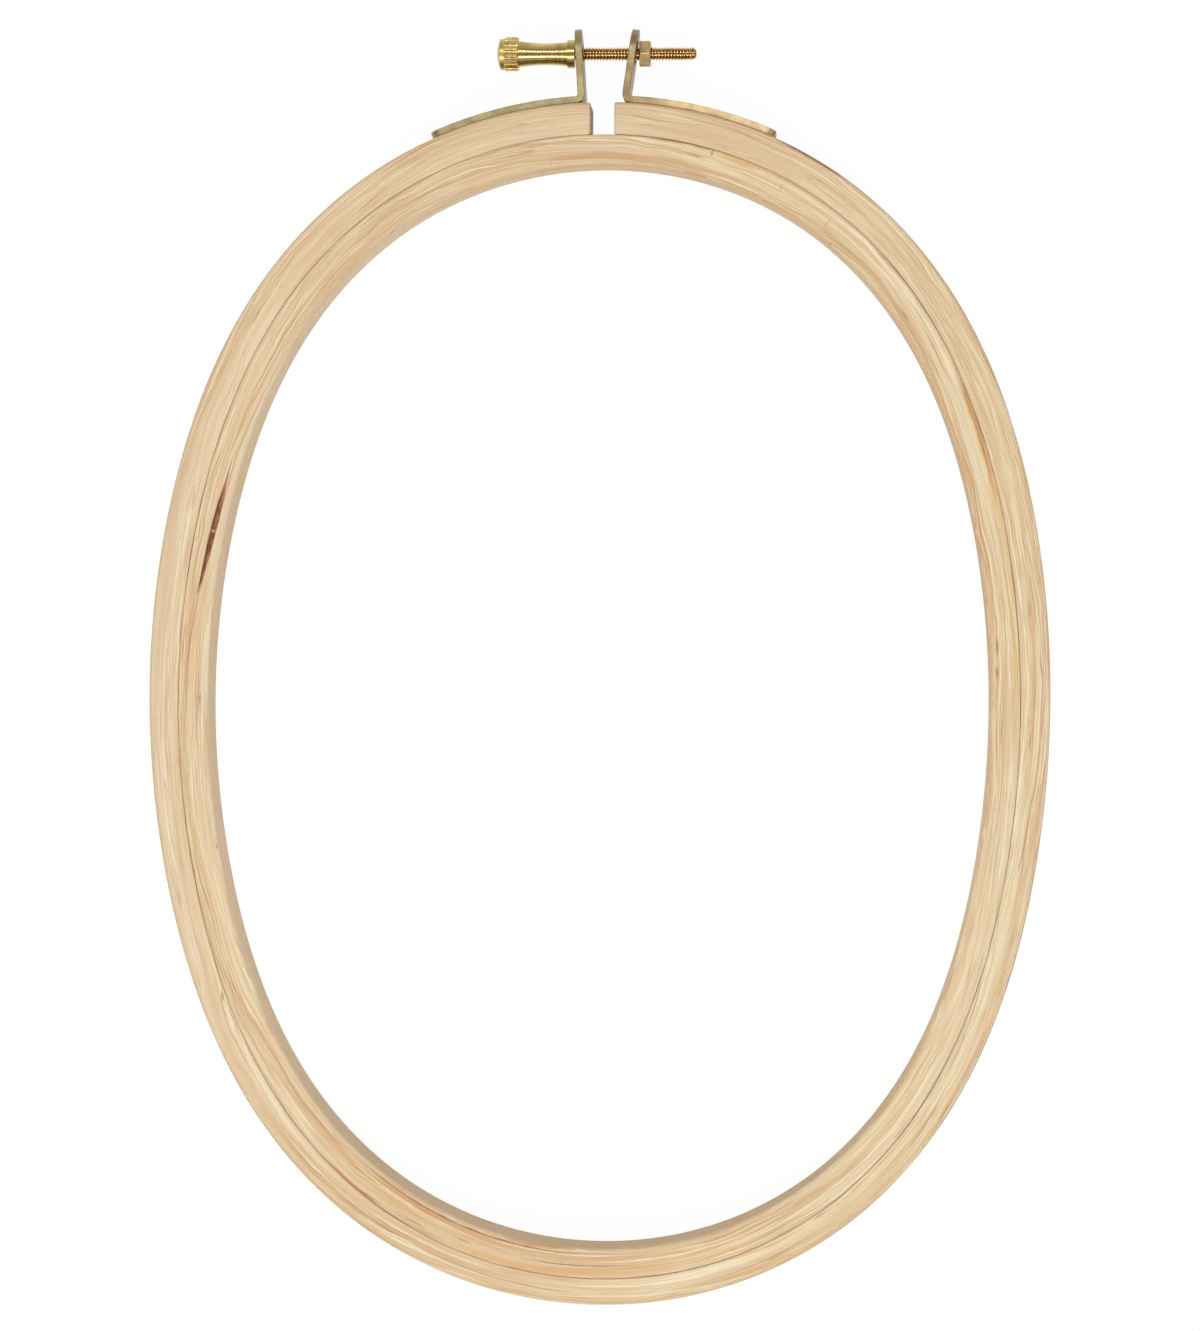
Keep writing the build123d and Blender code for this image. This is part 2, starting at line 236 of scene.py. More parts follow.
def inner_ring():
    """Closed strip inside the outer one. Its front columns gather into a narrow bundle along the
    scarf line, and where the joint stands open the bundle spreads into a slit with a slanted floor."""
    low_turn, high_turn = SCARF_TURNS[0], SCARF_TURNS[2]
    far = (low_turn + high_turn) / 2 - 180
    fine = np.arange(low_turn - 2, high_turn + 2, SLIT_ROW_STEP)
    turn = np.concatenate([np.linspace(far, fine[0], INNER_ROWS)[:-1], fine,
                           np.linspace(fine[-1], far + 360, INNER_ROWS)[1:-1]])
    open_share = (turn - low_turn) / (high_turn - low_turn)
    width, depth = np.interp(open_share, *SLIT_WIDTH), np.interp(open_share, *SLIT_DEPTH)
    least, most = SCARF_LIMITS
    first_turn, last_turn = low_turn - SCARF_FADE, high_turn + SCARF_FADE
    line = np.clip(scarf_share(turn), least, most)
    line = np.where(turn < first_turn, np.interp(turn, [far, first_turn], [0.5, least]), line)
    line = np.where(turn > last_turn, np.interp(turn, [last_turn, far + 360], [most, 0.5]), line)
    flat_wall = INNER_WALL - SEAM_ROUND - INSIDE_ROUND
    apart = width[:, None] / 2 * SLIT_ACROSS + SLIT_COLUMN_GAP * np.arange(-4, 5)
    bundle = line[:, None] + apart / flat_wall
    low = np.linspace(0, 1, 14)[None, :-1] * bundle[:, :1]
    high = 1 - (1 - bundle[:, -1:]) * np.linspace(1, 0, 12)[None, 1:]
    ends = np.append(turn, far + 360)
    run = length_along(ends, INNER_RUN_INSET)
    run -= np.interp(far + 180, ends, run)
    seam_round = SEAM_ROUND * (0.7 + 0.7 * ripple(run[:-1], wave=47.0, start=2.1))[:, None]
    share, offset, height = strip_section(np.hstack([low, bundle, high]), seam_round, INSIDE_ROUND)
    first = CORNER_COLUMNS + low.shape[1] - 1
    height[:, first:first + len(SLIT_SINK)] -= depth[:, None] * SLIT_SINK
    cleft = np.zeros_like(height)
    cleft[:, first + 1:first + len(SLIT_SINK) - 1] = (width > 0.02)[:, None]
    inset = share * INNER_WALL + offset
    tight = np.interp(ripple(run[:-1], wave=83.0, start=5.0), [0.1, 0.7], SEAM_CLOSED)[:, None]
    closed_seam = tight * (1 - inset / INNER_WALL)
    ring_inset = outer_wall(turn)[:, None] + SEAM_GAP - closed_seam
    across = inward(turn)[:, None, :] * (ring_inset + inset)[..., None]
    flat = outline_point(turn)[:, None, :] + across
    round_inset, round_height = (np.vstack([rows, rows[:1]]) for rows in (inset, height))
    grain = np.dstack([run[:, None] + 0 * round_inset, round_inset, round_height])
    scarf = scarf_share(ends)[:, None] * INNER_WALL - round_inset
    piece = skin("inner_ring_wood", np.dstack([flat, height]), {"grain": grain, "scarf": scarf},
                 {"seam": inset, "cleft": cleft}, closed=True)
    return piece, run[-1] - run[0]


# Wiring of the materials

def paint(red, green, blue):
    """Colour for a socket from the three values between 0 and 255 that a screen shows."""
    values = np.array([red, green, blue]) / 255
    linear = np.where(values <= 0.04045, values / 12.92, ((values + 0.055) / 1.055) ** 2.4)
    return (*linear.tolist(), 1.0)


class Bench:
    """Adds nodes to one tree and joins them. A plain value goes into a socket as it is."""

    def __init__(self, tree):
        self.tree = tree

    def feed(self, socket, value):
        if isinstance(value, bpy.types.NodeSocket):
            self.tree.links.new(value, socket)
        else:
            socket.default_value = value

    def add(self, kind, inputs=None, **settings):
        node = self.tree.nodes.new(kind)
        for key, value in settings.items():
            setattr(node, key, value)
        for key, value in (inputs or {}).items():
            self.feed(node.inputs[key], value)
        return node

    def math(self, operation, *values, clamp=False):
        node = self.add("ShaderNodeMath", operation=operation, use_clamp=clamp)
        for socket, value in zip(node.inputs, values):
            self.feed(socket, value)
        return node.outputs[0]

    def vector(self, operation, *values):
        node = self.add("ShaderNodeVectorMath", operation=operation)
        for socket, value in zip(node.inputs, values):
            self.feed(socket, value)
        return node.outputs["Value" if operation in ("LENGTH", "DOT_PRODUCT") else "Vector"]

    def split(self, value):
        return self.add("ShaderNodeSeparateXYZ", {"Vector": value}).outputs

    def join(self, x, y, z):
        return self.add("ShaderNodeCombineXYZ", {"X": x, "Y": y, "Z": z}).outputs[0]

    def fit(self, value, low, high, start=0.0, end=1.0, form="SMOOTHSTEP"):
        limits = {"Value": value, "From Min": low, "From Max": high, "To Min": start, "To Max": end}
        return self.add("ShaderNodeMapRange", limits, interpolation_type=form).outputs["Result"]

    def cloud(self, place, detail=2.0, roughness=0.5):
        look = {"Vector": place, "Scale": 1.0, "Detail": detail, "Roughness": roughness}
        return self.add("ShaderNodeTexNoise", look).outputs["Fac"]

    def mix(self, share, first, second, kind="MIX"):
        node = self.add("ShaderNodeMix", data_type="RGBA", blend_type=kind, clamp_factor=True)
        for socket, value in zip((node.inputs[0], node.inputs[6], node.inputs[7]), (share, first, second)):
            self.feed(socket, value)
        return node.outputs[2]

    def group(self, tree, **inputs):
        node = self.add("ShaderNodeGroup")
        node.node_tree = tree
        for key, value in inputs.items():
            self.feed(node.inputs[key.replace("_", " ")], value)
        return node.outputs


SOCKETS = {float: "NodeSocketFloat", tuple: "NodeSocketColor", list: "NodeSocketVector"}


def new_group(name, inputs, outputs):
    """Node group with named inputs, their starting values and named outputs."""
    tree = bpy.data.node_groups.new(name, "ShaderNodeTree")
    for label, value in inputs.items():
        socket = tree.interface.new_socket(name=label, in_out="INPUT", socket_type=SOCKETS[type(value)])
        socket.default_value = value
    for label, kind in outputs.items():
        tree.interface.new_socket(name=label, in_out="OUTPUT", socket_type=SOCKETS[kind])
    bench = Bench(tree)
    return tree, bench, bench.add("NodeGroupInput").outputs, bench.add("NodeGroupOutput").inputs


# Clouds in the wood, drawn out along the strip: a cloud's length, width and height in millimetres, the
# shift that sets it apart from the others, its detail and its roughness.
CLOUDS = {
    "drift": (150, 50, 90, 3, 1.0, 0.5),
    "wave": (30, 5.0, 12, 7, 2.0, 0.5),
    "waver": (11, 2.6, 6, 67, 1.0, 0.5),
    "jag": (8, 0.3, 2.0, 9, 3.0, 0.5),
    "busy part": (60, 1.9, 6, 29, 2.0, 0.5),
    "broad": (80, 2.4, 9, 17, 2.0, 0.5),
    "streak": (38, 0.95, 4, 11, 3.0, 0.55),
    "strand": (22, 0.4, 2.2, 13, 3.0, 0.62),
    "fibre": (7, 0.2, 0.4, 23, 2.0, 0.6),
    "warm": (44, 1.3, 4, 31, 2.0, 0.5),
    "pink": (90, 4.5, 9, 37, 2.0, 0.5),
    "cream": (34, 0.42, 2.5, 61, 3.0, 0.5),
    "dash": (18, 0.26, 1.2, 71, 2.0, 0.5),
    "line": (150, 2.4, 6, 41, 1.0, 0.5),
    "lined part": (16, 1.5, 4, 43, 2.0, 0.5),
    "fleck": (2.6, 0.16, 0.22, 47, 1.0, 0.5),
    "flecked part": (28, 3.0, 5, 53, 1.0, 0.5),
}
# The wood's tones from its darkest layers to its palest, each with its place on the ramp.
WOOD_TONES = (
    (0.0, paint(202, 162, 112)),
    (0.3, paint(214, 182, 140)),
    (0.55, paint(223, 200, 162)),
    (0.8, paint(233, 214, 178)),
    (1.0, paint(243, 228, 198)),
)
# Rise of the layers with the height, and their depth at the front face.
LAYER_SLOPE, FRONT_DEPTH = 0.7, 3.84


def bent_wood():
    """Pale wood whose growth layers run along a bent strip, and are calmer on its sides than on its
    front. Grain is the length along the strip, the inset and the height, in millimetres. The depth into
    the wood is the inset plus a share of the height, a slow drift along the length and two smaller
    waves, so that each layer leaves the strip at a slant. Layers are its whole steps, and strands and
    fibres are clouds drawn out along the length."""
    tree, b, given, out = new_group(
        "bent_wood",
        {"Grain": [0.0, 0.0, 0.0], "Seed": 0.0, "Paleness": 0.5, "Layer": 2.6, "Drift": 12.0},
        {"Color": tuple, "Roughness": float, "Height": float})
    run, inset, height = b.split(given["Grain"])
    seed = given["Seed"]

    def cloud(across, name):
        """One of the clouds, at the run, a distance across and the height."""
        long, wide, high, shift, detail, roughness = CLOUDS[name]
        place = b.join(b.math("DIVIDE", run, long), b.math("DIVIDE", across, wide),
                       b.math("DIVIDE", height, high))
        place = b.vector("ADD", place, b.join(seed, shift, b.math("MULTIPLY", seed, 1.7)))
        return b.cloud(place, detail, roughness)

    def swing(share, size):
        """A share's distance from its middle, times a size."""
        return b.math("MULTIPLY", b.math("SUBTRACT", share, 0.5), size)

    def total(*values):
        """Sum of any number of values."""
        result = values[0]
        for value in values[1:]:
            result = b.math("ADD", result, value)
        return result

    drift = swing(cloud(inset, "drift"), given["Drift"])
    wave = swing(cloud(inset, "wave"), 2.0)
    waver = swing(cloud(inset, "waver"), 1.1)
    from_middle = b.math("ABSOLUTE", b.math("SUBTRACT", height, HOOP_DEPTH / 2))
    calm = b.fit(from_middle, 6.4, 7.6, 0.3, 1.0)
    slant = b.math("MULTIPLY", b.math("SUBTRACT", height, HOOP_DEPTH), LAYER_SLOPE)
    slant = b.math("ADD", slant, FRONT_DEPTH)
    depth = total(inset, slant, drift, b.math("MULTIPLY", calm, b.math("ADD", wave, waver)))
    jagged = b.math("ADD", depth, swing(cloud(depth, "jag"), b.math("MULTIPLY", calm, 1.3)))
    layer = b.math("DIVIDE", jagged, given["Layer"])
    count = b.math("FLOOR", layer)
    part = b.math("SUBTRACT", layer, count)
    own = b.math("ADD", count, seed)
    tone = b.add("ShaderNodeTexWhiteNoise", {"W": own}, noise_dimensions="1D").outputs["Value"]
    late = b.math("MULTIPLY", b.fit(part, 0.5, 0.97), b.fit(part, 0.97, 1.0, 1.0, 0.0))

    busy = b.math("MULTIPLY", calm, b.fit(cloud(depth, "busy part"), 0.4, 0.58, 0.25, 1.0))
    broad = cloud(depth, "broad")
    streak = cloud(depth, "streak")
    strand = cloud(depth, "strand")
    fibre = cloud(depth, "fibre")
    fine = b.math("MULTIPLY", busy, b.math("ADD", swing(streak, 0.85), swing(strand, 1.15)))
    pale = total(given["Paleness"], swing(tone, b.math("MULTIPLY", calm, 0.2)),
                 swing(broad, b.fit(calm, 0.3, 1.0, 0.55, 1.0)), fine, swing(fibre, 0.6),
                 b.math("MULTIPLY", b.math("MULTIPLY", late, busy), -0.12))
    ramp = b.add("ShaderNodeValToRGB", {"Fac": pale})
    while len(ramp.color_ramp.elements) < len(WOOD_TONES):
        ramp.color_ramp.elements.new(0.5)
    for element, (place, colour) in zip(ramp.color_ramp.elements, WOOD_TONES):
        element.position = place
        element.color = colour
    colour = ramp.outputs["Color"]

    warm = b.fit(cloud(depth, "warm"), 0.6, 0.76, 0.0, 0.5)
    colour = b.mix(b.math("MULTIPLY", warm, calm), colour, paint(216, 172, 112))
    pink = b.fit(cloud(depth, "pink"), 0.42, 0.7, 0.0, 0.5)
    colour = b.mix(pink, colour, b.mix(1.0, colour, paint(255, 244, 240), "MULTIPLY"))
    cream = b.math("MULTIPLY", b.fit(cloud(depth, "cream"), 0.54, 0.6), b.math("MULTIPLY", busy, 0.85))
    colour = b.mix(cream, colour, paint(240, 224, 190))
    dash = b.math("MULTIPLY", b.fit(cloud(depth, "dash"), 0.57, 0.65), b.math("MULTIPLY", busy, 0.6))
    colour = b.mix(dash, colour, paint(196, 150, 114))
    line = b.math("ABSOLUTE", b.math("SUBTRACT", cloud(depth, "line"), 0.5))
    line = b.fit(line, 0.002, 0.009, 1.0, 0.0)
    line = b.math("MULTIPLY", line, b.fit(cloud(depth, "lined part"), 0.45, 0.56, 0.0, 0.7))
    colour = b.mix(line, colour, paint(176, 130, 92))
    fleck = b.fit(cloud(depth, "fleck"), 0.68, 0.75)
    fleck = b.math("MULTIPLY", fleck, b.fit(cloud(depth, "flecked part"), 0.47, 0.62, 0.0, 0.6))
    colour = b.mix(fleck, colour, paint(168, 124, 90))

    b.feed(out["Color"], colour)
    b.feed(out["Roughness"], b.fit(pale, 0.0, 1.0, 0.62, 0.5, "LINEAR"))
    dents = b.math("MULTIPLY", total(fleck, line, dash), -0.7)
    b.feed(out["Height"], total(swing(fibre, 1.2), swing(strand, 0.8), dents))
    return tree


def painted_seam_shade():
    """Painted shade along an edge: a brown line strongest at the edge, gone at its reach, and uneven along
    the strip.
    """
    tree, b, given, out = new_group(
        "painted_seam_shade",
        {"Grain": [0.0, 0.0, 0.0], "Distance": 0.0, "Reach": 0.4, "Strength": 0.4, "Seed": 0.0,
         "Color": paint(220, 200, 165), "Painted Shade": paint(150, 104, 66)},
        {"Color": tuple})
    run = b.split(given["Grain"])[0]
    uneven = b.cloud(b.join(b.math("DIVIDE", run, 9.0), given["Seed"], 0.0), 3.0)
    reach = b.math("MULTIPLY", given["Reach"], b.fit(uneven, 0.3, 0.7, 0.5, 1.5))
    near = b.math("SUBTRACT", 1.0, b.math("DIVIDE", given["Distance"], reach), clamp=True)
    b.feed(out["Color"], b.mix(b.math("MULTIPLY", near, given["Strength"]), given["Color"], given["Painted Shade"]))
    return tree


def streak_mark():
    """Mask of one streak in the front face: full at its place, gone at its half length and half width,
    leaning by a slope, ragged at its sides and absent from the sides and back of the strip."""
    tree, b, given, out = new_group(
        "streak_mark",
        {"Grain": [0.0, 0.0, 0.0], "Place": [0.0, 0.0, 0.0], "Size": [1.0, 1.0, 0.5]},
        {"Mask": float})
    run, inset, height = b.split(given["Grain"])
    run_at, inset_at, slope = b.split(given["Place"])
    half_length, half_width, ragged = b.split(given["Size"])
    along = b.math("SUBTRACT", run, run_at)
    aside = b.math("SUBTRACT", b.math("SUBTRACT", inset, inset_at), b.math("MULTIPLY", along, slope))
    rough = b.cloud(b.join(b.math("DIVIDE", run, 5.0), b.math("DIVIDE", inset, 0.3), inset_at), 3.0)
    rough = b.math("MULTIPLY", b.math("SUBTRACT", rough, 0.5), b.math("MULTIPLY", ragged, 4.0))
    rough = b.math("ADD", 1.0, rough)
    share_along = b.math("DIVIDE", b.math("ABSOLUTE", along), half_length)
    share_aside = b.math("DIVIDE", b.math("ABSOLUTE", aside), b.math("MULTIPLY", half_width, rough))
    mask = b.math("MULTIPLY", b.fit(share_along, 0.35, 1.0, 1.0, 0.0),
                  b.fit(share_aside, 0.45, 1.0, 1.0, 0.0))
    b.feed(out["Mask"], b.math("MULTIPLY", mask, b.fit(height, 14.2, 15.2)))
    return tree


BENT_WOOD, PAINTED_SEAM_SHADE, STREAK_MARK = bent_wood(), painted_seam_shade(), streak_mark()


def new_material(name):
    """Empty material with its bench, its Principled shader and its output."""
    material = bpy.data.materials.new(name)
    material.use_nodes = True
    material.node_tree.nodes.clear()
    b = Bench(material.node_tree)
    shader = b.add("ShaderNodeBsdfPrincipled")
    b.feed(b.add("ShaderNodeOutputMaterial").inputs["Surface"], shader.outputs[0])
    return material, b, shader.inputs


def kept_value(b, label, output="Fac"):
    """Value that the mesh keeps under a label."""
    return b.add("ShaderNodeAttribute", attribute_type="GEOMETRY", attribute_name=label).outputs[output]


def marked(b, colour, grain, marks):
    """Puts streaks over a colour. Each is a run, an inset, half a length, half a width, a slope, how
    ragged it is, how strong it is and its colour."""
    for run, inset, half_length, half_width, slope, ragged, strength, tint in marks:
        mark = b.group(STREAK_MARK, Grain=grain, Place=[run, inset, slope],
                       Size=[half_length, half_width, ragged])
        colour = b.mix(b.math("MULTIPLY", mark["Mask"], strength), colour, tint)
    return colour


def raise_surface(b, sockets, height, distance):
    """Puts a height times a distance in metres into the shader's normal."""
    bump = b.add("ShaderNodeBump", {"Height": height, "Distance": distance, "Strength": 1.0})
    b.feed(sockets["Normal"], bump.outputs[0])


# Streaks placed one by one: run, inset, half length, half width, slope, raggedness, strength and colour.
OUTER_MARKS = (
    (10.0, 4.0, 42.0, 7.0, 0.0, 0.1, 0.4, paint(214, 184, 146)),
    (818.0, 4.0, 42.0, 7.0, 0.0, 0.1, 0.4, paint(216, 186, 148)),
    (610.0, 2.6, 125.0, 2.8, 0.0, 0.2, 0.3, paint(236, 220, 194)),
    (352.0, 2.8, 44.0, 2.0, 0.0, 0.3, 0.3, paint(204, 162, 110)),
    (447.0, 5.6, 72.0, 2.6, 0.0, 0.3, 0.34, paint(200, 156, 106)),
    (762.0, 5.9, 44.0, 2.4, 0.0, 0.3, 0.3, paint(204, 160, 108)),
    (34.0, 5.5, 32.0, 2.0, 0.0, 0.3, 0.34, paint(200, 158, 110)),
    (110.0, 5.2, 60.0, 1.4, 0.0, 0.3, 0.22, paint(200, 158, 110)),
    (51.4, 0.5, 12.0, 0.32, 0.0, 0.9, 0.85, paint(122, 86, 58)),
    (180.9, 4.4, 3.0, 0.5, 0.01, 0.8, 0.6, paint(206, 150, 92)),
    (483.9, 7.2, 13.0, 0.34, 0.0, 0.7, 0.6, paint(204, 132, 76)),
    (460.9, 4.9, 26.0, 0.4, -0.02, 0.9, 0.6, paint(242, 226, 194)),
    (402.0, 4.7, 24.0, 0.3, 0.01, 0.9, 0.75, paint(244, 230, 200)),
    (382.0, 5.6, 18.0, 0.26, 0.0, 0.9, 0.7, paint(244, 230, 200)),
    (440.0, 3.3, 30.0, 0.2, 0.008, 0.9, 0.6, paint(184, 132, 92)),
    (372.0, 3.0, 20.0, 0.18, -0.01, 0.9, 0.6, paint(184, 130, 90)),
)
INNER_MARKS = (
    (-216.0, 3.4, 66.0, 4.2, 0.0, 0.2, 0.3, paint(202, 154, 98)),
    (-216.0, 5.6, 60.0, 1.2, 0.0, 0.5, 0.3, paint(202, 152, 98)),
    (0.0, 6.6, 84.0, 1.7, 0.0, 0.3, 0.4, paint(236, 218, 188)),
    (-206.0, 6.1, 40.0, 0.22, 0.004, 0.9, 0.8, paint(150, 96, 66)),
    (-232.0, 5.6, 24.0, 0.2, -0.006, 0.9, 0.7, paint(244, 228, 196)),
    (-190.0, 4.6, 22.0, 0.3, 0.006, 0.9, 0.6, paint(240, 222, 186)),
    (-262.0, 4.2, 26.0, 0.3, 0.0, 0.9, 0.7, paint(244, 228, 196)),
    (185.5, 0.95, 7.0, 0.85, 0.03, 0.5, 0.75, paint(222, 177, 112)),
    (179.2, 0.8, 0.4, 1.0, 0.0, 0.4, 0.6, paint(156, 104, 76)),
    (198.5, 2.4, 0.3, 1.1, 0.2, 0.2, 0.45, paint(178, 136, 104)),
    (213.2, 3.9, 0.3, 0.9, -0.2, 0.2, 0.45, paint(178, 136, 104)),
    (138.1, 6.2, 0.3, 0.7, 0.1, 0.2, 0.4, paint(178, 136, 104)),
    (170.5, 0.15, 11.0, 0.4, 0.0, 0.8, 0.75, paint(176, 126, 70)),
    (284.0, 0.95, 24.0, 0.95, 0.0, 0.7, 0.6, paint(214, 164, 96)),
    (280.0, 0.9, 20.0, 0.4, 0.004, 0.9, 0.75, paint(186, 130, 66)),
    (272.0, 0.35, 14.0, 0.2, 0.0, 0.9, 0.7, paint(160, 106, 58)),
    (322.0, 1.0, 40.0, 0.8, 0.004, 0.8, 0.5, paint(224, 186, 120)),
    (333.0, 5.4, 3.4, 0.5, 0.03, 1.0, 0.5, paint(200, 150, 104)),
    (333.2, 5.4, 2.2, 0.2, 0.03, 0.8, 0.75, paint(166, 112, 72)),
    (339.5, 5.7, 2.4, 0.5, -0.04, 1.0, 0.5, paint(198, 146, 100)),
    (339.4, 5.7, 1.5, 0.2, -0.04, 0.8, 0.75, paint(162, 108, 70)),
    (-237.0, 3.1, 17.0, 0.17, -0.01, 0.8, 0.75, paint(140, 96, 66)),
    (-225.0, 1.2, 25.0, 0.95, 0.01, 0.9, 0.55, paint(220, 168, 108)),
    (-259.0, 2.4, 27.0, 1.7, -0.01, 0.8, 0.45, paint(220, 176, 120)),
    (-176.0, 0.3, 11.0, 0.4, 0.0, 0.8, 0.7, paint(200, 126, 70)),
    (-30.0, 0.8, 6.0, 0.3, 0.0, 0.8, 0.65, paint(206, 142, 82)),
)


WOOD_SPECULAR, WOOD_RELIEF = 0.35, 0.00005
# Runs of the inner ring's foot, where its inner wall is darkened with painted shade, and of the light
# splinter in its slit.
FOOT_RUN, SPLINTER_RUN = -241.0, -1.2


def outer_wood():
    """Outer strip: tan on its outer part and creamier towards the seam, with painted shade as a brown line
    along its seam edge.
    """
    material, b, sockets = new_material("outer_ring_pale_wood")
    grain, seam = kept_value(b, "grain", "Vector"), kept_value(b, "seam")
    run, inset = b.split(grain)[:2]
    wander = b.cloud(b.join(b.math("DIVIDE", run, 85.0), b.math("DIVIDE", inset, 9.0), 0.4), 2.0)
    border = b.math("ADD", inset, b.math("MULTIPLY", b.math("SUBTRACT", wander, 0.5), 5.0))
    paleness = b.fit(border, 3.9, 4.9, 0.36, 0.6)
    wood = b.group(BENT_WOOD, Grain=grain, Seed=4.0, Paleness=paleness, Layer=3.1, Drift=9.0)
    colour = marked(b, wood["Color"], grain, OUTER_MARKS)
    # Painted shade: a brown line darkening the edge along the seam with the inner ring.
    edged = b.group(PAINTED_SEAM_SHADE, Grain=grain, Distance=seam, Reach=0.35, Strength=0.4, Seed=2.0,
                    Color=colour)
    b.feed(sockets["Base Color"], edged["Color"])
    b.feed(sockets["Roughness"], wood["Roughness"])
    sockets["Specular IOR Level"].default_value = WOOD_SPECULAR
    raise_surface(b, sockets, wood["Height"], WOOD_RELIEF)
    return material


def inner_wood(round_length):
    """Inner strip: streakier, with painted shade as a brown line at the seam, on its inner wall near the
    foot and on one lip of its slit, and the grain of its two ends meeting at the scarf.
    """
    material, b, sockets = new_material("inner_ring_pale_wood")
    grain, seam = kept_value(b, "grain", "Vector"), kept_value(b, "seam")
    scarf, cleft = kept_value(b, "scarf"), kept_value(b, "cleft")
    tail = b.math("LESS_THAN", scarf, 0.0)
    place = grain
    run_here = b.split(place)[0]
    grain = b.vector("ADD", place, b.join(b.math("MULTIPLY", tail, round_length), 0.0, 0.0))
    run, inset, height = b.split(grain)
    wander = b.cloud(b.join(b.math("DIVIDE", run, 110.0), b.math("DIVIDE", inset, 5.0), 0.9), 2.0)
    paleness = b.fit(wander, 0.25, 0.75, 0.38, 0.7, "LINEAR")
    paleness = b.math("SUBTRACT", paleness, b.fit(inset, 4.3, 5.6, 0.0, 0.15))
    wood = b.group(BENT_WOOD, Grain=grain, Seed=9.0, Paleness=paleness, Layer=2.3, Drift=14.0)
    # Painted shade: the inner wall near the foot, which faces away from the main lamp, darkens towards a
    # grey tan.
    from_foot = b.math("ABSOLUTE", b.math("SUBTRACT", run_here, FOOT_RUN))
    shade = b.math("MULTIPLY", b.fit(height, 15.4, 14.2), b.fit(from_foot, 60.0, 120.0, 0.45, 0.0))
    colour = b.mix(shade, wood["Color"], paint(178, 152, 112))
    colour = marked(b, colour, place, INNER_MARKS)
    # Painted shade: a brown line darkening the edge along the seam with the outer ring.
    edged = b.group(PAINTED_SEAM_SHADE, Grain=grain, Distance=seam, Reach=0.4, Strength=0.5, Seed=5.0,
                    Color=colour)
    glue = b.fit(b.math("ABSOLUTE", scarf), 0.04, 0.2, 1.0, 0.0)
    glue = b.math("MULTIPLY", glue, b.fit(b.math("ABSOLUTE", run_here), 26.0, 58.0, 0.65, 0.0))
    colour = b.mix(glue, edged["Color"], paint(166, 112, 78))
    inside = b.cloud(b.vector("MULTIPLY", grain, [0.3, 2.0, 1.1]), 3.0)
    inside = b.mix(b.fit(inside, 0.35, 0.65), paint(168, 94, 74), paint(214, 146, 116))
    inside = b.mix(b.fit(run_here, 6.0, 13.0, 0.0, 0.7), inside, paint(196, 138, 106))
    # Painted shadow: a dark olive band on the slit's seam-side lip along the scarf line, fading out towards
    # its upper end.
    edge = b.math("MULTIPLY", b.fit(scarf, 0.5, 0.8, 0.0, 0.6), b.fit(run_here, 6.0, 11.0, 1.0, 0.0))
    inside = b.mix(edge, inside, paint(96, 80, 50))
    colour = b.mix(cleft, colour, inside)
    uneven = b.cloud(b.vector("MULTIPLY", grain, [1.3, 1.6, 0.4]), 2.0)
    uneven = b.math("MULTIPLY", b.math("SUBTRACT", uneven, 0.5), 3.0)
    splinter = b.math("ADD", b.math("SUBTRACT", run_here, SPLINTER_RUN), uneven)
    splinter = b.math("MULTIPLY", b.fit(b.math("ABSOLUTE", splinter), 0.12, 0.4, 0.9, 0.0), cleft)
    colour = b.mix(splinter, colour, paint(226, 190, 152))
    b.feed(sockets["Base Color"], colour)
    b.feed(sockets["Roughness"], wood["Roughness"])
    sockets["Specular IOR Level"].default_value = WOOD_SPECULAR
    raise_surface(b, sockets, wood["Height"], WOOD_RELIEF)
    return material


def rubbed_metal():
    """Thin brass plate that has dulled: cloudy tone, fine marks along a direction and rubbed spots."""
    tree, b, given, out = new_group(
        "rubbed_metal",
        {"Place": [0.0, 0.0, 0.0], "Stretch": [1.0, 1.0, 1.0], "Seed": 0.0,
         "Dull": paint(150, 130, 80), "Bright": paint(220, 190, 120), "Shine": 0.3, "Marks": 0.1},
        {"Color": tuple, "Roughness": float, "Height": float})
    drawn = b.vector("MULTIPLY", given["Place"], given["Stretch"])
    marks = b.cloud(b.vector("ADD", drawn, b.join(given["Seed"], 0.0, 0.0)), 4.0, 0.65)
    from_mean = b.math("SUBTRACT", marks, 0.5)
    clouds = b.cloud(b.vector("MULTIPLY", given["Place"], [260.0, 260.0, 260.0]), 4.0, 0.6)
    tone = b.math("ADD", b.fit(clouds, 0.3, 0.7, 0.0, 0.75), b.math("MULTIPLY", from_mean, 1.2), clamp=True)
    b.feed(out["Color"], b.mix(tone, given["Dull"], given["Bright"]))
    rough = b.math("ADD", given["Shine"], b.math("MULTIPLY", from_mean, given["Marks"]))
    b.feed(out["Roughness"], b.math("ADD", rough, b.fit(clouds, 0.3, 0.7, 0.05, -0.03)))
    b.feed(out["Height"], marks)
    return tree


RUBBED_METAL = rubbed_metal()


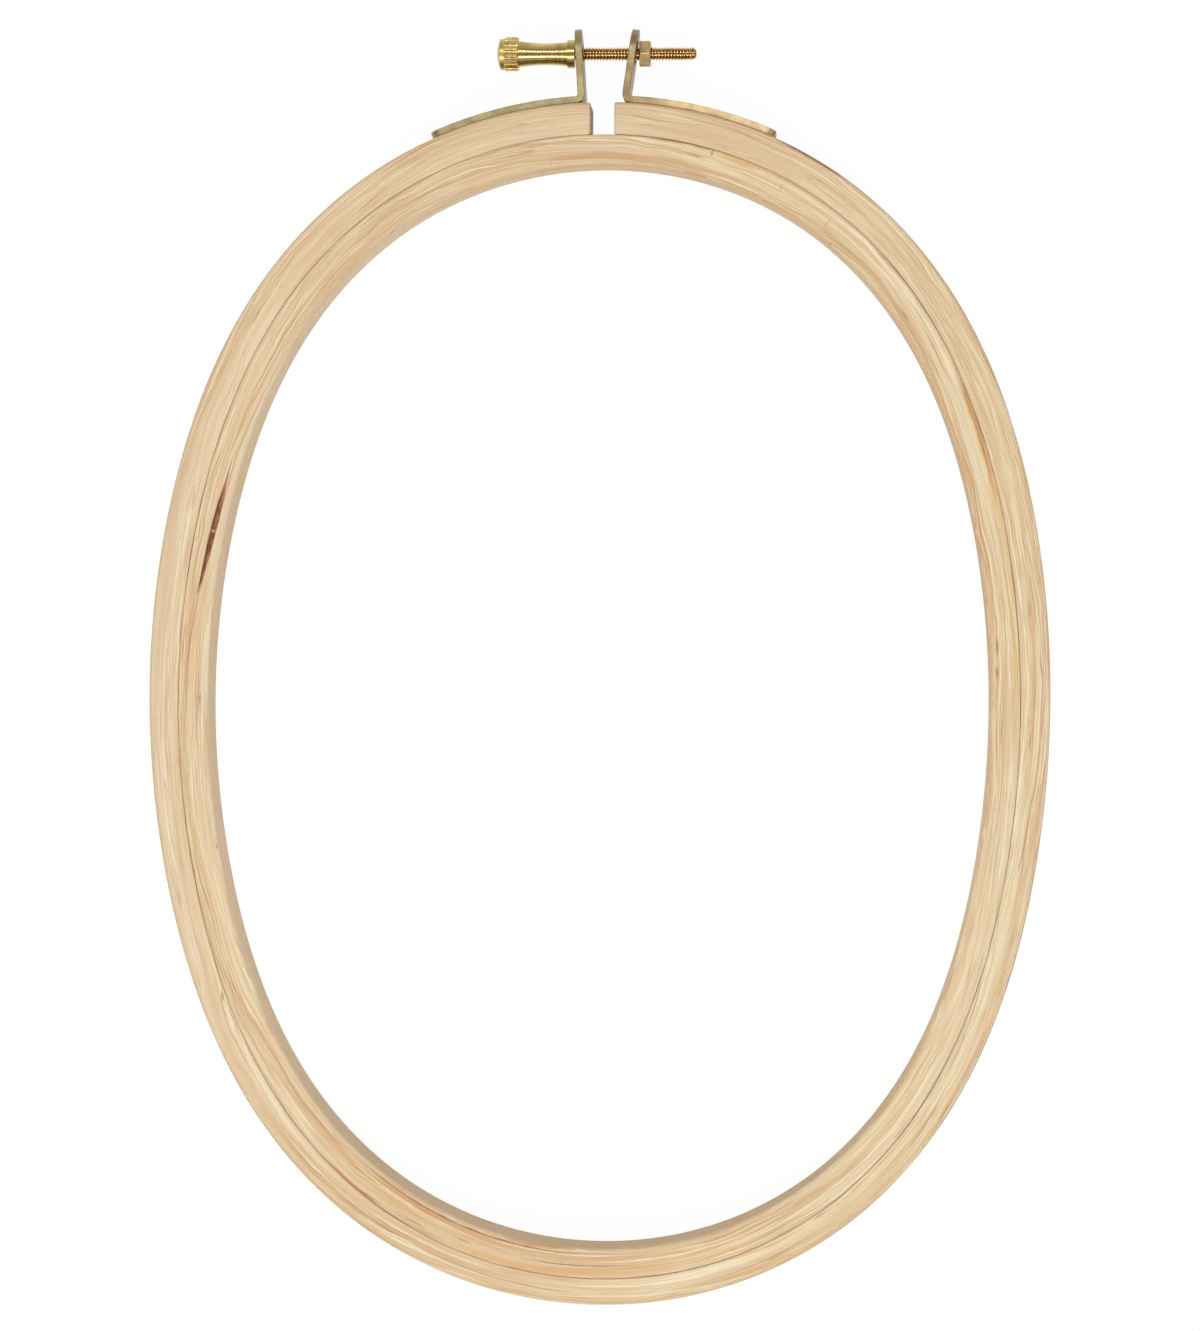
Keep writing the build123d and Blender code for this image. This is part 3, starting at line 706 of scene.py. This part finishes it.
def metal(name, dull, bright, shine, marks, stretch, seed, bump, painted_root_shade=None, painted_highlight=None, rough=None):
    """Brass finish: marks stretched along the piece, with its own two tones and shine. Painted_root_shade
    is the radii about the screw's axis where painted shade in the thread's roots is strongest and where
    it is gone, and the shade's tone. Painted_highlight is the places along X between which a painted
    highlight brightens its front edge, and the highlight's tone. Rough is the places along X between
    which its roughness grows, and by how much."""
    material, b, sockets = new_material(name)
    place = b.add("ShaderNodeTexCoord").outputs["Object"]
    look = b.group(RUBBED_METAL, Place=place, Stretch=stretch, Seed=seed, Dull=dull, Bright=bright,
                   Shine=shine, Marks=marks)
    colour, roughness = look["Color"], look["Roughness"]
    # Painted highlight: mottled brightening of the front edge between two places along X.
    if painted_highlight:
        start, end, tint = painted_highlight
        spots = b.cloud(b.vector("MULTIPLY", place, [420.0, 420.0, 420.0]), 3.0)
        spots = b.fit(spots, 0.35, 0.65, 0.6, 0.95)
        share = b.fit(b.split(place)[0], start * MM, end * MM)
        share = b.math("MULTIPLY", share, b.fit(b.split(place)[2], 13.4 * MM, 13.9 * MM))
        colour = b.mix(b.math("MULTIPLY", share, spots), colour, tint)
    if rough:
        start, end, more = rough
        roughness = b.math("ADD", roughness, b.fit(b.split(place)[0], start * MM, end * MM, 0.0, more))
    # Painted shade in the thread's roots: darker towards the screw's axis.
    if painted_root_shade:
        root, crest, tint = painted_root_shade
        from_axis = b.vector("SUBTRACT", place, [0.0, SCREW_Y * MM, SCREW_Z * MM])
        radius = b.vector("LENGTH", b.vector("MULTIPLY", from_axis, [0.0, 1.0, 1.0]))
        colour = b.mix(b.fit(radius, root * MM, crest * MM, 0.75, 0.0), colour, tint)
    b.feed(sockets["Base Color"], colour)
    b.feed(sockets["Roughness"], roughness)
    sockets["Metallic"].default_value = 1.0
    raise_surface(b, sockets, look["Height"], bump)
    return material


# Rounded copies of the metal solids

# Angles in degrees from which an edge is rounded and from which its shading is split, and the angle
# under which neighbouring facets become one.
SHARP_FROM, SPLIT_FROM, ONE_FACE_UNDER = 35, 38, 0.5
# Reach of the edges that stay sharp about a strip's hole and about the nut's bore at each of its ends,
# and those ends' distances from the right lug.
RIM_REACH, BORE_REACH, NUT_ENDS = 4.5, 2.2, (1.7, 4.6)


def lean_to_broad_faces(mesh, furthest):
    """Normal at each face corner: the sum of the normals of the faces that share its point and turn
    away from its own face by less than an angle, each times its area. Broad faces then stay evenly
    shaded beside their rounded edges."""
    count = len(mesh.polygons)
    point, sides = np.empty(len(mesh.loops), np.int32), np.empty(count, np.int32)
    area, facing = np.empty(count, np.float32), np.empty(3 * count, np.float32)
    mesh.loops.foreach_get("vertex_index", point)
    mesh.polygons.foreach_get("loop_total", sides)
    mesh.polygons.foreach_get("area", area)
    mesh.polygons.foreach_get("normal", facing)
    facing = facing.reshape(-1, 3)
    order = np.argsort(point, kind="stable")
    face = np.repeat(np.arange(count), sides)[order]
    point = point[order]
    own = facing[face]
    weighted = own * area[face][:, None]
    result = weighted.copy()
    for step in range(1, np.bincount(point).max()):
        shared = (point[step:] == point[:-step]) & ((own[step:] * own[:-step]).sum(1) > math.cos(furthest))
        result[step:] += shared[:, None] * weighted[:-step]
        result[:-step] += shared[:, None] * weighted[step:]
    normals = np.empty_like(result)
    normals[order] = result / np.maximum(np.linalg.norm(result, axis=1, keepdims=True), 1e-12)
    mesh.normals_split_custom_set(normals.tolist())


def softened(name, node, radius, shortest, spared):
    """Copy of a metal node with its sharp edges rounded to a radius, apart from those shorter than a
    length and those within a reach of a spared place, such as a hole's rim, all in millimetres."""
    work = bmesh.new()
    work.from_mesh(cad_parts[node].data)
    bmesh.ops.remove_doubles(work, verts=work.verts, dist=0.001 * MM)
    bmesh.ops.dissolve_limit(work, angle_limit=math.radians(ONE_FACE_UNDER), verts=work.verts,
                             edges=work.edges)
    sharp = [edge for edge in work.edges if edge.calc_face_angle(0) > math.radians(SHARP_FROM)]
    sharp = [edge for edge in sharp if edge.calc_length() > shortest * MM]
    for place, reach in spared:
        middle = Vector(place)
        sharp = [edge for edge in sharp if min((end.co / MM - middle).length for end in edge.verts) > reach]
    bmesh.ops.bevel(work, geom=sharp, offset=radius * MM, segments=3, profile=0.5, affect="EDGES",
                    clamp_overlap=False)
    mesh = bpy.data.meshes.new(name)
    work.to_mesh(mesh)
    work.free()
    mesh.polygons.foreach_set("use_smooth", np.ones(len(mesh.polygons), bool))
    mesh.set_sharp_from_angle(angle=math.radians(SPLIT_FROM))
    piece = bpy.data.objects.new(name, mesh)
    bpy.context.scene.collection.objects.link(piece)
    lean_to_broad_faces(mesh, math.radians(SPLIT_FROM))
    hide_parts(node)
    return piece


def brad_places(node):
    """Middle of each brad of a strip: the mean of the points on either side of the pair's middle."""
    points = np.array([corner.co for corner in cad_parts[node].data.vertices]) / MM
    outer = points[:, 0] > points[:, 0].mean()
    return [tuple(points[pick].mean(0)) for pick in (outer, ~outer)]


def hole_rims(lug_x, brads):
    """Middles of a strip's holes, the lug's first, each with the reach of the rim that stays sharp."""
    return [(place, RIM_REACH) for place in [(lug_x, SCREW_Y, SCREW_Z), *brad_places(brads)]]


# The pieces

rim = outer_ring()
rim.data.materials.append(outer_wood())
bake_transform(rim)
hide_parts("outer_ring_left", "outer_ring_right")

hoop, round_length = inner_ring()
hoop.data.materials.append(inner_wood(round_length))
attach(hoop, "inner")
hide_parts("inner_ring")

FINISHES = {
    "left_strip": metal(
        "strip_dull_brass", dull=paint(152, 137, 98), bright=paint(180, 166, 124), shine=0.44, marks=0.2,
        stretch=[90.0, 90.0, 2200.0], seed=1.0, bump=0.00002),
    # The right strip's front edge carries a painted highlight on its foot.
    "right_strip": metal(
        "strip_brass_painted_highlight", dull=paint(144, 124, 90), bright=paint(180, 158, 118), shine=0.44, marks=0.25,
        stretch=[90.0, 90.0, 2200.0], seed=7.0, bump=0.00003, painted_highlight=(11.0, 20.0, paint(224, 196, 150))),
    "knob": metal(
        "knob_turned_brass", dull=paint(170, 145, 88), bright=paint(224, 196, 128), shine=0.19, marks=0.08,
        stretch=[2600.0, 120.0, 120.0], seed=2.0, bump=0.000002, rough=(-21.2, -21.5, 0.16)),
    # The rod's thread roots carry painted shade.
    "rod": metal(
        "rod_cut_brass", dull=paint(206, 164, 98), bright=paint(246, 214, 150), shine=0.22, marks=0.1,
        stretch=[300.0, 300.0, 300.0], seed=3.0, bump=0.00001, painted_root_shade=(1.34, 1.54, paint(112, 74, 36))),
    "six_sided_nut": metal(
        "nut_dull_brass", dull=paint(186, 157, 112), bright=paint(230, 202, 150), shine=0.4, marks=0.2,
        stretch=[1500.0, 500.0, 500.0], seed=4.0, bump=0.00002),
    "brads": metal(
        "brad_brass", dull=paint(150, 132, 88), bright=paint(200, 178, 128), shine=0.3, marks=0.2,
        stretch=[900.0, 900.0, 900.0], seed=5.0, bump=0.00002),
}
for node, finish in (("left_bracket_brads", "brads"), ("right_bracket_brads", "brads"),
                     ("threaded_rod", "rod"), ("thumb_knob", "knob")):
    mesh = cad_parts[node].data
    mesh.materials.clear()
    mesh.materials.append(FINISHES[finish])

# Each rounded copy: its name, node, body and slot, its edges' radius, its shortest rounded edge, and
# the places that stay sharp with their reach.
for name, node, body, slot, radius, shortest, spared in (
        ("left_strip", "left_bracket", "outer_left", "strip_brass", 0.2, 0.0,
         hole_rims(-LEFT_LUG, "left_bracket_brads")),
        ("right_strip", "right_bracket", "outer_right", "strip_brass", 0.2, 0.0,
         hole_rims(RIGHT_LUG, "right_bracket_brads")),
        ("six_sided_nut", "hex_nut", "nut", "nut_brass", 0.2, 0.8,
         [((RIGHT_LUG + end, SCREW_Y, SCREW_Z), BORE_REACH) for end in NUT_ENDS])):
    piece = softened(name, node, radius, shortest, spared)
    piece.data.materials.append(FINISHES[name])
    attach(piece, body)


# Floor, light and camera

WALL_LIGHT, OVERHEAD_LIGHT, LAMP_DISTANCE, LAMP_LENGTH = 0.72, 0.3, 1.2, 1.0


def floor_paper():
    """White sheet. The camera and shiny things see it glow evenly with a faint shadow, and the rest of
    the light sees a plain pale sheet."""
    material = bpy.data.materials.new("white_paper")
    material.use_nodes = True
    material.node_tree.nodes.clear()
    b = Bench(material.node_tree)
    rays = b.add("ShaderNodeLightPath").outputs
    bounced = b.math("MAXIMUM", rays["Is Glossy Ray"], rays["Is Transmission Ray"])
    seen = b.math("MAXIMUM", rays["Is Camera Ray"], bounced)
    plain = b.add("ShaderNodeBsdfDiffuse", {"Color": (0.8, 0.8, 0.8, 1.0)})
    thin = b.add("ShaderNodeBsdfDiffuse", {"Color": (0.06, 0.06, 0.06, 1.0)})
    glow = b.add("ShaderNodeEmission", {"Color": (1.0, 1.0, 1.0, 1.0), "Strength": 0.955})
    bright = b.add("ShaderNodeAddShader", {0: thin.outputs[0], 1: glow.outputs[0]})
    look = b.add("ShaderNodeMixShader", {0: seen, 1: plain.outputs[0], 2: bright.outputs[0]})
    b.feed(b.add("ShaderNodeOutputMaterial").inputs["Surface"], look.outputs[0])
    return material


def room_light():
    """Soft light from all round: brighter towards the walls than overhead, and white to the camera."""
    world = bpy.data.worlds.new("studio")
    bpy.context.scene.world = world
    world.use_nodes = True
    world.node_tree.nodes.clear()
    b = Bench(world.node_tree)
    up = b.split(b.add("ShaderNodeTexCoord").outputs["Generated"])[2]
    strength = b.fit(up, 0.2, 0.95, WALL_LIGHT, OVERHEAD_LIGHT)
    soft = b.add("ShaderNodeBackground", {"Color": (1.0, 1.0, 1.0, 1.0), "Strength": strength})
    white = b.add("ShaderNodeBackground", {"Color": (1.0, 1.0, 1.0, 1.0), "Strength": 1.0})
    camera = b.add("ShaderNodeLightPath").outputs["Is Camera Ray"]
    look = b.add("ShaderNodeMixShader", {0: camera, 1: soft.outputs[0], 2: white.outputs[0]})
    b.feed(b.add("ShaderNodeOutputWorld").inputs["Surface"], look.outputs[0])


def strip_lamp(name, angle, power, width):
    """Long soft lamp over the hoop, leaning from overhead towards +Y by an angle."""
    lamp = bpy.data.lights.new(name, "AREA")
    lamp.shape = "RECTANGLE"
    lamp.size = LAMP_LENGTH
    lamp.size_y = width
    lamp.energy = power
    holder = bpy.data.objects.new(name, lamp)
    bpy.context.scene.collection.objects.link(holder)
    lean = math.radians(angle)
    holder.rotation_euler = (-lean, 0, 0)
    holder.location = (0.0, LAMP_DISTANCE * math.sin(lean), LAMP_DISTANCE * math.cos(lean))


sheet_mesh = bpy.data.meshes.new("floor")
reach, below = 2.5, -0.0002
edges = [(-reach, -reach, below), (reach, -reach, below), (reach, reach, below), (-reach, reach, below)]
sheet_mesh.from_pydata(edges, [], [(0, 1, 2, 3)])
floor = bpy.data.objects.new("floor", sheet_mesh)
bpy.context.scene.collection.objects.link(floor)
sheet_mesh.materials.append(floor_paper())

room_light()
strip_lamp("lamp_from_foot", -27.0, 6.6, 0.18)
strip_lamp("lamp_from_clamp", 26.0, 3.9, 0.12)

CAMERA_PLACE, CAMERA_AIM = Vector((0.052, 0.018, 1.025)), Vector((0.000367, 0.009487, 0.016))
LENS, CAMERA_ROLL = 107.98, 0.0041
camera_data = bpy.data.cameras.new("camera")
camera_data.lens = LENS
camera_data.sensor_width = 36.0
camera = bpy.data.objects.new("camera", camera_data)
bpy.context.scene.collection.objects.link(camera)
camera.location = CAMERA_PLACE
back = (CAMERA_PLACE - CAMERA_AIM).normalized()
side = Vector((0, 1, 0)).cross(back).normalized()
up = back.cross(side)
turned_side = side * math.cos(CAMERA_ROLL) + up * math.sin(CAMERA_ROLL)
camera.rotation_euler = Matrix((turned_side, back.cross(turned_side), back)).transposed().to_euler()
bpy.context.scene.camera = camera
bpy.context.scene.view_settings.view_transform = "Standard"
